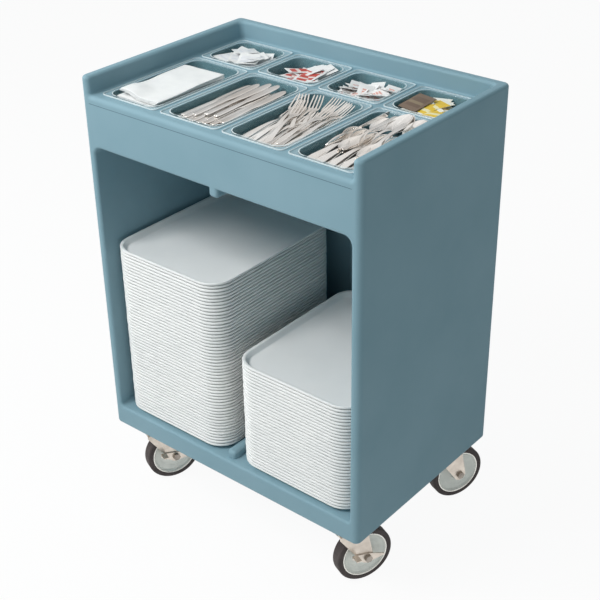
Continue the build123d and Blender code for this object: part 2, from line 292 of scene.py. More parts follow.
def strip(
    name: str, stations: Sequence[Station], columns: int, thickness: float,
    slots_from: float | None = None,
) -> Piece:
    """A long flat piece shaped row by row, such as a spoon.

    Args:
        name: The piece's name.
        stations: The rows from one end to the other.
        columns: Faces across.
        thickness: Metal thickness, in millimetres.
        slots_from: Where given, every second column is open beyond this distance, as in a fork.

    Returns:
        The new mesh object, closed and rounded.
    """
    piece = grid(name, columns, len(stations) - 1)
    with editing(piece):
        rows, lines = grouped(piece, 1), grouped(piece, 0)
        for row, station in zip(rows, stations):
            pick(piece, lambda v, chosen=row: v.index in chosen)
            start = next(v.co.y for v in bmesh.from_edit_mesh(piece.data).verts if v.index in row)
            bpy.ops.transform.translate(value=(0, station.along * MM - start, station.height * MM))
            bpy.ops.transform.resize(value=(station.width * MM, 1, 1), center_override=(0, 0, 0))
            if station.dish:
                inner = row - lines[0] - lines[-1]
                pick(piece, lambda v, chosen=inner: v.index in chosen)
                bpy.ops.transform.translate(value=(0, 0, -station.dish * MM))
        if slots_from is not None:
            mesh = bmesh.from_edit_mesh(piece.data)
            for face in mesh.faces:
                inside = {v.index for v in face.verts}
                column = min(k for k, line in enumerate(lines) if inside & line)
                face.select_set(column % 2 == 1 and face.calc_center_median().y > slots_from * MM)
            bmesh.update_edit_mesh(piece.data)
            bpy.ops.mesh.select_mode(type="FACE")
            bpy.ops.mesh.delete(type="FACE")
    apply_modifier(piece, "metal", "SOLIDIFY", thickness=thickness * MM, offset=0)
    apply_modifier(piece, "rounding", "SUBSURF", levels=1, render_levels=1)
    smooth(piece, 60)
    return piece


class Nodes:
    """A node tree that code fills."""

    def __init__(self, tree: bpy.types.NodeTree) -> None:
        """Take the node tree of a material or a world."""
        self.tree = tree

    def feed(self, end: Socket, value: object) -> None:
        """Give a socket its value.

        Args:
            end: The socket.
            value: Another node's socket, a number, a colour or a vector.
        """
        if isinstance(value, Socket):
            self.tree.links.new(value, end)
        elif end.type == "RGBA":
            end.default_value = (*value, 1)
        else:
            end.default_value = value

    def node(self, kind: str, inputs: Inputs, **settings: object) -> bpy.types.Node:
        """Add a node.

        Args:
            kind: Blender's node type.
            inputs: What goes into its sockets, by name or number.
            **settings: Values of its properties.

        Returns:
            The new node.
        """
        made = self.tree.nodes.new(kind)
        for key, value in settings.items():
            setattr(made, key, value)
        for key, value in inputs.items():
            self.feed(made.inputs[key], value)
        return made

    def split(self, value: Socket) -> bpy.types.NodeOutputs:
        """The sockets X, Y and Z of a vector."""
        return self.node("ShaderNodeSeparateXYZ", {"Vector": value}).outputs

    def maths(self, job: str, first: object, second: object = 0.0) -> Socket:
        """One sum on sockets or numbers, by Blender's name of the operation."""
        return self.node("ShaderNodeMath", {0: first, 1: second}, operation=job).outputs["Value"]

    def every(self, *tests: Socket) -> Socket:
        """Multiply tests, for 1 where all of them hold.

        Args:
            *tests: Sockets that carry 0 or 1.

        Returns:
            The product.
        """
        product = tests[0]
        for test in tests[1:]:
            product = self.maths("MULTIPLY", product, test)
        return product

    def spread(self, value: Socket, low: float, high: float) -> Socket:
        """Map 0 to 1 onto a range."""
        ends = {"Value": value, "To Min": low, "To Max": high}
        return self.node("ShaderNodeMapRange", ends).outputs["Result"]

    def blend(self, share: Socket, first: Socket, second: Socket) -> Socket:
        """Mix two shaders, with a share of the second."""
        return self.node("ShaderNodeMixShader", {0: share, 1: first, 2: second}).outputs["Shader"]


class Recipe(Nodes):
    """The nodes of one material."""

    def __init__(self, name: str) -> None:
        """Start a material with one shader.

        Args:
            name: The material's name.
        """
        self.material = bpy.data.materials.new(name)
        self.material.use_nodes = True
        super().__init__(self.material.node_tree)
        self.shader = self.tree.nodes["Principled BSDF"]
        self.output = self.tree.nodes["Material Output"]

    def place(self, source: str = "Object") -> Socket:
        """The coordinates of one kind."""
        return self.node("ShaderNodeTexCoord", {}).outputs[source]

    def noise(self, scale: float, detail: float = 3.0, stretch: Triple = (1, 1, 1)) -> Socket:
        """A grey cloud pattern on the object's own coordinates.

        Args:
            scale: Clouds to a metre, roughly.
            detail: Finer levels.
            stretch: Scale along each axis.

        Returns:
            The pattern's value.
        """
        where = self.node("ShaderNodeMapping", {"Vector": self.place(), "Scale": stretch})
        inputs = {"Vector": where.outputs["Vector"], "Scale": scale, "Detail": detail}
        return self.node("ShaderNodeTexNoise", inputs).outputs["Fac"]

    def ramp(self, value: Socket, *stops: tuple[float, Triple]) -> Socket:
        """Colours along a value.

        Args:
            value: The value, from 0 to 1.
            *stops: Two pairs of place and colour.

        Returns:
            The colour.
        """
        band = self.node("ShaderNodeValToRGB", {"Fac": value})
        for point, (at, colour) in zip(band.color_ramp.elements, stops):
            point.position = at
            point.color = (*colour, 1)
        return band.outputs["Color"]

    def mix(self, share: Socket, first: object, second: object) -> Socket:
        """Mix two colours, sockets or constant, with a share of the second."""
        ends = {0: share, 6: first, 7: second}
        return self.node("ShaderNodeMix", ends, data_type="RGBA").outputs[2]

    def relief(self, *heights: tuple[Socket, float]) -> Socket:
        """Bumps on top of each other.

        Args:
            *heights: Pairs of pattern and depth in metres, the first the lowest.

        Returns:
            The bumpy normal.
        """
        under = {}
        for value, depth in heights:
            inputs = {"Height": value, "Strength": 1.0, "Distance": depth, **under}
            under = {"Normal": self.node("ShaderNodeBump", inputs).outputs["Normal"]}
        return under["Normal"]

    def shade(self, **values: object) -> bpy.types.Material:
        """Feed the shader and hand the material over.

        Args:
            **values: What goes into its sockets, by name with underscores for spaces.

        Returns:
            The material.
        """
        for key, value in values.items():
            self.feed(self.shader.inputs[key.replace("_", " ")], value)
        return self.material


@dataclass(frozen=True)
class SlateBody:
    """Slate-blue moulded polyethylene with a fine grain, and painted shade along the mould-line
    groove across the front.
    """

    light: Triple = (0.256, 0.400, 0.466)
    dark: Triple = (0.225, 0.367, 0.431)
    # line: the colour of the painted shade that stands in for the shadow in the mould-line groove.
    line: Triple = (0.085, 0.155, 0.190)
    groove_shade_height: float = 1.114
    groove_shade_half_width: float = 0.0007
    groove_shade_reach: float = 0.386
    front_limit: float = -0.28
    front_facing: float = -0.6
    cloud_scale: float = 5.0
    swirl_scale: float = 55.0
    swirl_share: float = 0.16
    grain_scale: float = 900.0
    smoothest: float = 0.46
    roughest: float = 0.60
    gloss: float = 0.16

    def make(self) -> bpy.types.Material:
        """Build the material.

        Returns:
            The material.
        """
        recipe = Recipe("slate_body")
        cloud = recipe.noise(self.cloud_scale, 4.0)
        grain = recipe.noise(self.grain_scale, 2.0)
        swirl = recipe.noise(self.swirl_scale, 4.0)
        base = recipe.ramp(cloud, (0.3, self.dark), (0.7, self.light))
        base = recipe.mix(recipe.maths("MULTIPLY", swirl, self.swirl_share), base, self.light)
        place = recipe.split(recipe.place())
        facing = recipe.split(recipe.node("ShaderNodeNewGeometry", {}).outputs["Normal"])
        off = recipe.maths("ABSOLUTE", recipe.maths("SUBTRACT", place["Z"], self.groove_shade_height))
        # The mask of the mould line: painted shade standing in for the shadow inside its groove.
        mark = recipe.every(
            recipe.maths("LESS_THAN", off, self.groove_shade_half_width),
            recipe.maths("LESS_THAN", facing["Y"], self.front_facing),
            recipe.maths("LESS_THAN", recipe.maths("ABSOLUTE", place["X"]), self.groove_shade_reach),
            recipe.maths("LESS_THAN", place["Y"], self.front_limit),
        )
        return recipe.shade(
            Base_Color=recipe.mix(mark, base, self.line),
            Roughness=recipe.spread(swirl, self.smoothest, self.roughest),
            Specular_IOR_Level=self.gloss,
            Normal=recipe.relief((cloud, 0.0008), (swirl, 0.00012), (grain, 0.00003)),
        )


@dataclass(frozen=True)
class ClearPan:
    """Clear moulded plastic, thin, bright along its edges by a painted sheen: its tint grows more
    opaque towards grazing angles in place of the reflection there.
    """

    name: str
    tint: Triple
    scuffed: Triple
    face_on: float
    edge_on: float
    wear_scale: float = 160.0
    streaks: Triple = (1, 0.15, 1)
    edge_share: float = 0.22
    smoothest: float = 0.04
    roughest: float = 0.12
    refraction: float = 1.58
    wave_scale: float = 14.0
    wave_depth: float = 0.0002

    def make(self) -> bpy.types.Material:
        """Build the material.

        Returns:
            The material.
        """
        recipe = Recipe(self.name)
        wear = recipe.noise(self.wear_scale, 4.0, self.streaks)
        weight = recipe.node("ShaderNodeLayerWeight", {"Blend": self.edge_share})
        return recipe.shade(
            Base_Color=recipe.ramp(wear, (0.3, self.tint), (0.8, self.scuffed)),
            Roughness=recipe.spread(wear, self.smoothest, self.roughest),
            IOR=self.refraction,
            # Opacity rises from face_on to edge_on towards grazing angles: a painted sheen standing
            # in for the reflection on clear plastic.
            Alpha=recipe.spread(weight.outputs["Facing"], self.face_on, self.edge_on),
            Normal=recipe.relief((recipe.noise(self.wave_scale, 1.0), self.wave_depth)),
        )


@dataclass(frozen=True)
class PlainFinish:
    """A finish of two close colours, a roughness range and a grain."""

    name: str
    light: Triple
    dark: Triple
    cloud_scale: float
    smoothest: float
    roughest: float
    grain_scale: float
    grain_depth: float
    metallic: float = 0.0

    def make(self) -> bpy.types.Material:
        """Build the material.

        Returns:
            The material.
        """
        recipe = Recipe(self.name)
        cloud = recipe.noise(self.cloud_scale, 4.0)
        grain = recipe.noise(self.grain_scale)
        return recipe.shade(
            Base_Color=recipe.ramp(cloud, (0.3, self.dark), (0.7, self.light)),
            Roughness=recipe.spread(grain, self.smoothest, self.roughest),
            Metallic=self.metallic,
            Normal=recipe.relief((grain, self.grain_depth)),
        )


@dataclass(frozen=True)
class PrintedPacket:
    """White paper with a plain coloured panel and a few bars, all generic."""

    name: str
    paper: Triple
    panel: Triple
    bars: Triple
    bar_count: float
    left: float = 0.12
    right: float = 0.88
    low: float = 0.2
    high: float = 0.8
    bar_from: float = 0.72
    fibre_scale: float = 420.0
    shading: float = 0.94
    roughness: float = 0.62

    def make(self) -> bpy.types.Material:
        """Build the material.

        Returns:
            The material.
        """
        recipe = Recipe(self.name)
        place = recipe.split(recipe.place("UV"))
        across, along = place["X"], place["Y"]
        mark = recipe.every(
            recipe.maths("GREATER_THAN", across, self.left),
            recipe.maths("LESS_THAN", across, self.right),
            recipe.maths("GREATER_THAN", along, self.low),
            recipe.maths("LESS_THAN", along, self.high),
        )
        stripes = recipe.maths("FRACT", recipe.maths("MULTIPLY", along, self.bar_count))
        bar = recipe.every(recipe.maths("GREATER_THAN", stripes, self.bar_from), mark)
        fibre = recipe.noise(self.fibre_scale)
        shade = tuple(self.shading * c for c in self.paper)
        paper = recipe.ramp(fibre, (0.3, self.paper), (0.8, shade))
        return recipe.shade(
            Base_Color=recipe.mix(bar, recipe.mix(mark, paper, self.panel), self.bars),
            Roughness=self.roughness,
            Normal=recipe.relief((fibre, 0.00008)),
        )


class Finish(Enum):
    """Every finish of the cart."""

    BODY = SlateBody()
    PAN = ClearPan("clear_pan", (0.58, 0.74, 0.79), (0.66, 0.81, 0.85), 0.05, 0.40)
    # A dark teal tint for the walls: painted shade, standing in for the body's shadowed wells seen
    # through the clear plastic.
    PAN_WALL = ClearPan("clear_pan_wall_painted_shade", (0.15, 0.30, 0.33), (0.22, 0.40, 0.44), 0.30, 0.58)
    # A near-white, nearly opaque band for the rim and the mouth's edge: a painted highlight.
    PAN_EDGE = ClearPan("clear_pan_edge_painted_highlight", (0.80, 0.91, 0.94), (0.88, 0.95, 0.96), 0.72, 0.85)
    NAPKIN = PlainFinish(
        "napkin_paper", (0.90, 0.90, 0.89), (0.84, 0.845, 0.84), 30, 0.80, 0.95, 650, 0.00012
    )
    CUTLERY = PlainFinish(
        "cutlery_steel", (0.93, 0.92, 0.90), (0.74, 0.68, 0.62), 9, 0.12, 0.24, 300, 0.000005, 0.90
    )
    WHITE_PACKET = PrintedPacket(
        "packet_white", (0.90, 0.90, 0.89), (0.84, 0.84, 0.86), (0.74, 0.76, 0.80), 3
    )
    RED_PACKET = PrintedPacket(
        "packet_red", (0.90, 0.89, 0.88), (0.55, 0.07, 0.05), (0.84, 0.70, 0.66), 3,
        left=0.16, right=0.84, low=0.10, high=0.72,
    )
    SPECKLED_PACKET = PrintedPacket(
        "packet_speckled", (0.90, 0.89, 0.88), (0.78, 0.42, 0.36), (0.90, 0.86, 0.84), 7,
        left=0.3, right=0.7, low=0.3, high=0.7,
    )
    YELLOW_PACKET = PrintedPacket(
        "packet_yellow", (0.90, 0.88, 0.80), (0.86, 0.58, 0.06), (0.92, 0.84, 0.50), 2,
        left=0.0, right=1.0, low=0.22, high=0.86,
    )
    BROWN_PACKET = PrintedPacket(
        "packet_brown", (0.20, 0.14, 0.10), (0.15, 0.10, 0.07), (0.26, 0.20, 0.13), 2
    )
    TRAY = PlainFinish(
        "tray_plastic", (0.93, 0.93, 0.915), (0.89, 0.895, 0.885), 9, 0.34, 0.48, 520, 0.00006
    )
    PLATED = PlainFinish(
        "plated_steel", (0.84, 0.76, 0.67), (0.62, 0.55, 0.48), 40, 0.26, 0.44, 240, 0.00006, 0.85
    )
    FASTENER = PlainFinish(
        "fastener_steel", (0.46, 0.41, 0.36), (0.26, 0.23, 0.20), 60, 0.22, 0.40, 380, 0.00004, 0.9
    )
    HUB = PlainFinish(
        "hub_plastic", (0.84, 0.85, 0.79), (0.72, 0.74, 0.69), 35, 0.30, 0.48, 420, 0.00006, 0.25
    )
    BEAD = PlainFinish(
        "wheel_bead", (0.96, 0.95, 0.90), (0.90, 0.88, 0.82), 60, 0.22, 0.34, 380, 0.00002, 0.8
    )
    TYRE = PlainFinish(
        "tyre_rubber", (0.085, 0.065, 0.062), (0.055, 0.043, 0.042), 50, 0.60, 0.82, 520, 0.00010
    )

    @cache
    def material(self) -> bpy.types.Material:
        """The finish's material, made on first use."""
        return self.value.make()


def dress(piece: Piece, finish: Finish) -> None:
    """Give a piece one finish."""
    piece.data.materials.clear()
    piece.data.materials.append(finish.material())


def settle(piece: Piece, body: str, nodes: Sequence[str]) -> None:
    """Hand a finished piece to the frame.

    Args:
        piece: The finished object.
        body: The body that it rides on.
        nodes: The nodes that it stands for.
    """
    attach(piece, body)
    if nodes:
        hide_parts(*nodes)
    LOG.info("%s rides on %s with %d faces", piece.name, body, len(piece.data.polygons))


def room_in(pan: str, node: str, below_rim: float) -> tuple[Vector, Vector]:
    """The lowest and highest corner of what a pan's contents fill, up to some way below its rim."""
    low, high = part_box(node)
    return low, Vector((high.x, high.y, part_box(pan)[1].z - below_rim))


@dataclass
class Pan:
    """One clear lift-out pan: flange with a bead, rolled mouth, tapered wall and rounded floor."""

    node: str
    wall: float = 2.8 * MM
    flange: float = 11 * MM
    flange_thickness: float = 3.2 * MM
    flange_radius: float = 13 * MM
    corner_radius: float = 30 * MM
    floor_radius: float = 9 * MM
    highlight_width: float = 2.2 * MM
    taper: float = math.tan(math.radians(6.0))
    segments: int = 8

    def outlines(self, width: float, length: float, depth: float) -> list[Outline]:
        """The pan's skin as outlines, from its floor's underside round to its floor's top.

        Args:
            width: Across the flange.
            length: Along the flange.
            depth: From the flange's top to the underside of the floor.

        Returns:
            The outlines, with height 0 at the underside of the floor.
        """
        deck = depth - self.flange_thickness
        skirt = Outline(width - 2 * self.flange, length - 2 * self.flange, self.corner_radius, deck)
        rim = Outline(width, length, self.flange_radius, deck)
        turn = [math.radians(a) for a in (0, 30, 60, 90)]
        run = []
        for a in turn:
            height = self.floor_radius * (1 - math.cos(a))
            slope = (deck - height) * self.taper
            run.append(skirt.inset(slope + self.floor_radius * (1 - math.sin(a)), height))
        run.append(skirt.inset(0, deck))
        bead = ((0.5, 0.02), (0.0, 0.5), (0.0, 2.6), (0.6, 3.15), (2.2, 3.2), (3.0, 2.4))
        roll = ((-1.8, 2.45), (-0.6, 2.95), (0.8, 3.0), (2.2, 2.0), (2.8, 0.2))
        run += [rim.inset(far * MM, deck + up * MM) for far, up in bead]
        run += [skirt.inset(far * MM, deck + up * MM) for far, up in roll]
        inner = self.floor_radius - self.wall
        for a in reversed(turn):
            height = self.wall + inner * (1 - math.cos(a))
            slope = (deck - height) * self.taper
            run.append(skirt.inset(self.wall + slope + inner * (1 - math.sin(a)), height))
        return run

    def build(self) -> None:
        """Model the pan in the place of its node."""
        low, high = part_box(self.node)
        size, middle = high - low, (low + high) / 2
        piece = loft(f"{self.node}_clear", self.outlines(*size), self.segments)
        piece.data.transform(Matrix.Translation((middle.x, middle.y, low.z)))
        smooth(piece, 50)
        self.finish(piece, size, middle)
        settle(piece, f"{self.node}_set", [self.node])

    def finish(self, piece: Piece, size: Vector, middle: Vector) -> None:
        """Give the flange its clear plastic, the walls clear plastic with painted shade, and the
        edges a painted highlight.

        Args:
            piece: The pan.
            size: The size of the pan's box.
            middle: The middle of the pan's box.
        """
        for finish in (Finish.PAN, Finish.PAN_WALL, Finish.PAN_EDGE):
            piece.data.materials.append(finish.material())
        top = middle.z + size.z / 2
        rim = Outline(size.x, size.y, self.flange_radius, top)
        edges = 2 * self.flange
        mouth = Outline(size.x - edges, size.y - edges, self.corner_radius, top)
        for face in piece.data.polygons:
            place = face.center - middle
            drop = top - face.center.z
            rim_highlight = rim.beyond(place) > -self.highlight_width and drop < self.flange_thickness
            mouth_highlight = abs(mouth.beyond(place)) < self.highlight_width / 2 and drop < self.highlight_width
            # Thin bands along the rim and the mouth get the painted highlight.
            if rim_highlight or mouth_highlight:
                face.material_index = 2
            # Faces below the flange, which are the walls, get the painted shade.
            elif drop > self.flange_thickness:
                face.material_index = 1


@dataclass
class TrayStack:
    """A stack of nested trays, each with a drooped lip, a sloping side and a coved floor."""

    side: str
    count: int
    seed: int
    pitch: float = 9 * MM
    height: float = 16 * MM
    corner_radius: float = 58 * MM
    thickness: float = 2.4 * MM
    wander: float = 0.6 * MM
    segments: int = 9

    def tray(self, width: float, length: float) -> Piece:
        """One tray, its underside at height 0.

        Args:
            width: Across the lip.
            length: Along the lip.

        Returns:
            The pattern tray.
        """
        lip = Outline(width, length, self.corner_radius, self.height)
        levels = (
            (0.0, ((14.2, 0.0), (12.0, 0.6), (10.4, 2.6))),
            (self.height, ((6.6, -3.2), (2.4, -3.0), (2.0, -5.3), (0.4, -5.4), (0.0, -4.6))),
            (self.height, ((0.0, -1.2), (0.8, -0.2), (2.2, 0.0), (7.2, -0.3), (8.8, -1.4))),
            (self.thickness, ((13.0, 2.0), (15.0, 0.5), (19.0, 0.0))),
        )
        run = [lip.inset(far * MM, level + up * MM) for level, rows in levels for far, up in rows]
        piece = loft(f"tray_pattern_{self.side}", run, self.segments)
        smooth(piece, 50)
        return piece

    def build(self) -> None:
        """Model the whole stack in the place of its two nodes."""
        low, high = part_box(f"nested_trays_{self.side}")
        middle = (low + high) / 2
        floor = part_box(f"top_tray_{self.side}")[0].z - (self.count - 1) * self.pitch
        pattern = self.tray(high.x - low.x - 2 * self.wander, high.y - low.y - 2 * self.wander)
        rng = random.Random(self.seed)
        trays = []
        for level in range(self.count):
            place = posed(
                middle.x + rng.uniform(-self.wander, self.wander),
                middle.y + rng.uniform(-self.wander, self.wander),
                floor + level * self.pitch,
                rng.uniform(-0.06, 0.06),
            )
            trays.append(copy_of(pattern, place))
        bpy.data.objects.remove(pattern)
        piece = joined(f"tray_stack_{self.side}_whole", trays)
        dress(piece, Finish.TRAY)
        nodes = [f"nested_trays_{self.side}", f"top_tray_{self.side}"]
        settle(piece, f"tray_stack_{self.side}", nodes)


@dataclass
class NapkinStack:
    """Folded paper napkins, the top ones ruffled and one corner curled."""

    thickness: float = 2.9 * MM
    ply: float = 0.8
    filled: float = 0.80
    reach: float = 0.96
    flat_width: float = 0.91
    flat_ruffle: float = 1.2 * MM
    top_width: float = 0.93
    top_ruffle: float = 5 * MM
    curl: Triple = (5 * MM, 5 * MM, 8 * MM)
    aside: float = 3 * MM
    lean_across: float = 4 * MM
    lean_along: float = 7 * MM
    below_rim: float = 3 * MM
    seed: int = 5

    def napkin(self, width: float, length: float, ruffle: float) -> Piece:
        """One folded napkin, centred on the origin.

        Args:
            width: Across the fold.
            length: Along the fold.
            ruffle: Depth of its waves.

        Returns:
            The pattern napkin.
        """
        piece = grid("napkin_pattern", 14, 26)
        with editing(piece):
            bpy.ops.mesh.select_all(action="SELECT")
            bpy.ops.transform.resize(value=(width, length, 1), center_override=(0, 0, 0))
            if ruffle == self.top_ruffle:
                pick(piece, lambda v: v.co.x < 0.02 - width / 2 and v.co.y < 0.03 - length / 2)
                bpy.ops.transform.translate(
                    value=self.curl, use_proportional_edit=True,
                    proportional_edit_falloff="SMOOTH", proportional_size=0.06,
                )
        waves = bpy.data.textures.new("napkin_waves", "CLOUDS")
        waves.noise_scale = 0.09
        settings = {"texture_coords": "LOCAL", "strength": ruffle, "mid_level": 0.5}
        apply_modifier(piece, "waves", "DISPLACE", texture=waves, **settings)
        apply_modifier(piece, "ply", "SOLIDIFY", thickness=self.thickness * self.ply, offset=0)
        apply_modifier(piece, "fold", "BEVEL", width=0.8 * MM, segments=2, limit_method="ANGLE")
        smooth(piece, 50)
        return piece

    def build(self) -> None:
        """Model the stack in its pan."""
        low, high = room_in("long_pan_1", "napkins", self.below_rim)
        middle = (low + high) / 2
        width, length = high.x - low.x, high.y - low.y
        rng = random.Random(self.seed)
        flat = self.napkin(width * self.flat_width, length * self.filled, self.flat_ruffle)
        top = self.napkin(width * self.top_width, length * self.filled, self.top_ruffle)
        forward = length * (self.reach - self.filled) / 2
        layers = int((high.z - low.z - 3 * MM) / self.thickness)
        parts = []
        for layer in range(layers):
            lean = layer / layers - 0.5
            place = posed(
                middle.x + self.aside - self.lean_across * lean + rng.uniform(-0.6, 0.6) * MM,
                middle.y - forward + self.lean_along * lean + rng.uniform(-0.8, 0.8) * MM,
                low.z + 2 * MM + layer * self.thickness,
                rng.uniform(-0.25, 0.25),
            )
            parts.append(copy_of(flat, place))
        for step, yaw in enumerate((-1.2, 0.6, 1.6)):
            height = low.z + 4 * MM + (layers + step) * self.thickness
            spot = (middle.x + (2 + step) * MM, middle.y - forward + 4 * MM, height)
            parts.append(copy_of(top, posed(*spot, yaw, roll=-1.0)))
        bpy.data.objects.remove(flat)
        bpy.data.objects.remove(top)
        piece = joined("napkin_stack", parts)
        dress(piece, Finish.NAPKIN)
        settle(piece, "long_pan_1_set", ["napkins"])


class Cutlery(Enum):
    """The three kinds of cutlery, by the node that each stands for."""

    KNIFE = "knives"
    FORK = "forks"
    SPOON = "spoons"

    def pattern(self) -> Piece:
        """One piece of this kind, centred along its length, lying flat.

        Returns:
            The pattern object.
        """
        if self is Cutlery.KNIFE:
            rows = [Station(*row) for row in (
                (-118, 9), (-116, 15), (-100, 17), (-60, 15), (-20, 13), (-8, 13), (-2, 15),
                (4, 19), (40, 23), (80, 24), (102, 21), (113, 14), (118, 4),
            )]
            return strip("knife_pattern", rows, 3, 2.8)
        if self is Cutlery.FORK:
            rows = [Station(*row) for row in (
                (-98, 9), (-96, 16), (-80, 18, 1), (-45, 13, 3), (-5, 8, 5), (20, 7.5, 2),
                (32, 10, 0), (40, 22, -1, 0.6), (46, 27, -1, 1.2), (50, 28, -1, 1.2),
                (66, 28, 1, 0.8), (84, 27, 4, 0.4), (97, 25, 8),
            )]
            return strip("fork_pattern", rows, 7, 1.9, slots_from=48)
        rows = [Station(*row) for row in (
            (-95, 8), (-93, 15), (-78, 17, 1), (-42, 11, 3), (-5, 7, 5), (16, 8, 3),
            (25, 13, 1, 0.5), (34, 29, 0, 3), (48, 42, 0, 6), (66, 45, 0, 7.5), (82, 38, 0, 6),
            (93, 24, 0, 3), (98, 8, 0, 0.5),
        )]
        return strip("spoon_pattern", rows, 6, 1.8)


@dataclass(frozen=True)
class Laid:
    """How one piece lies on top: its middle from the pan's middle in millimetres, and its turns."""

    across: float
    along: float
    drop: float
    yaw: float
    pitch: float = 0.0
    roll: float = 0.0


@dataclass
class CutleryHeap:
    """Cutlery lying in layers in one pan, handles to the front, some pieces laid on top."""

    kind: Cutlery
    pan: str
    across: int
    rise: float
    spread: float
    lean: float
    reach: float
    seed: int
    bare: float
    rolled: float
    laid: Sequence[Laid]
    front_radius: float = 34 * MM
    side_gap: float = 11 * MM
    end_gap: float = 4 * MM
    unevenness: float = 1.5 * MM
    by_wall: float = 0.36
    below_rim: float = 13 * MM

    def build(self) -> None:
        """Model the heap in its pan."""
        low, high = room_in(self.pan, self.kind.value, self.below_rim)
        pattern = self.kind.pattern()
        length = pattern.dimensions.y
        rng = random.Random(self.seed)
        parts = []
        middle = (low + high) / 2
        width = high.x - low.x - 2 * self.side_gap
        corner = (high.x - low.x) / 2 - self.front_radius
        slack = high.y - low.y - length - 2 * self.end_gap
        for layer in range(int((high.z - low.z - self.bare) / self.rise)):
            for number in range(self.across):
                share = (number + 0.5 + rng.uniform(-0.22, 0.22)) / self.across - 0.5
                over = max(abs(share) * width + self.side_gap - corner, 0)
                round_off = self.front_radius - math.sqrt(max(self.front_radius**2 - over**2, 0))
                start = low.y + self.end_gap + round_off + length / 2
                place = posed(
                    middle.x + share * width,
                    start + slack * self.reach * rng.random() ** 2,
                    low.z + self.end_gap + layer * self.rise + rng.uniform(0, self.unevenness),
                    rng.gauss(0, self.spread) * (0.2 if abs(share) > self.by_wall else 1.0),
                    rng.uniform(0, self.lean),
                    rng.uniform(-self.rolled, self.rolled),
                )
                parts.append(copy_of(pattern, place))
        for one in self.laid:
            x, y = middle.x + one.across * MM, middle.y + one.along * MM
            place = posed(x, y, high.z - one.drop * MM, one.yaw, one.pitch, one.roll)
            parts.append(copy_of(pattern, place))
        bpy.data.objects.remove(pattern)
        piece = joined(f"{self.kind.value}_heap", parts)
        dress(piece, Finish.CUTLERY)
        settle(piece, f"{self.pan}_set", [self.kind.value])


KNIVES_ON_TOP = [Laid(*row) for row in (
    (-59, -8, 4, -1.2), (-44, -16, 2, -0.8), (-30, -22, 3, -0.4), (-16, -25, 1, 0.2),
    (-2, -26, 2, 0.6), (12, -25, 1, 1.3), (26, -22, 2, 1.0), (40, -15, 1, 2.0), (55, -4, 3, 1.6),
    (-50, -6, -2, 0.6), (-36, -14, -3, 1.0), (-21, -19, -2, 1.4), (-6, -23, -4, 0.8),
    (9, -22, -3, 1.6), (24, -18, -4, 2.2), (39, -10, -3, 2.6), (52, 8, -5, 3.2), (-24, 0, -8, 2.8),
    (-2, 16, -9, 2.2), (20, 22, -8, 3.0),
)]
FORKS_ON_TOP = [Laid(*row) for row in (
    (-57, -30, 6, -1.0, 2, 8), (-44, -30, 3, 2.0, 4, -10), (-31, -42, 2, -3.0, 6, 12),
    (-18, -36, 2, 4.0, 5, -8), (-4, -42, 2, -4.0, 5, 10), (10, -42, 2, 3.0, 4, -12),
    (24, -42, 3, -2.0, 4, 8), (38, -38, 2, 2.0, 3, -10), (54, -28, 4, 0.0, 2, 8),
    (-38, 0, -4, 16.0, 8), (-16, 10, -5, 27.0, 10), (6, 24, -4, 22.0, 9), (18, 34, -3, 4.0, 8),
    (36, 30, -4, -6.0, 7), (52, 26, -3, -2.0, 6), (30, -10, -6, -3.0, 7), (-14, -30, -6, 12.0, 9),
)]
SPOONS_ON_TOP = [Laid(*row) for row in (
    (-56, -36, 6, -1.0, 2, 38), (-43, -40, 4, 2.0, 3, -34), (-29, -44, 3, -2.0, 3, 40),
    (-15, -46, 4, 3.0, 3, -36), (-1, -46, 3, -2.0, 4, 36), (13, -44, 4, 3.0, 3, -40),
    (27, -42, 3, -3.0, 4, 34), (41, -40, 4, 2.0, 3, -38), (55, -34, 5, 1.0, 3, 36),
    (-16, 34, -11, 177.0, -4), (32, 22, -9, 184.0, -4), (-50, 34, -6, 168.0, -10, 68),
    (2, 44, -5, -10.0, 13), (28, 45, -4, 6.0, 13), (50, 42, -3, -4.0, 12), (-28, 38, 1, 6.0, 4),
)]


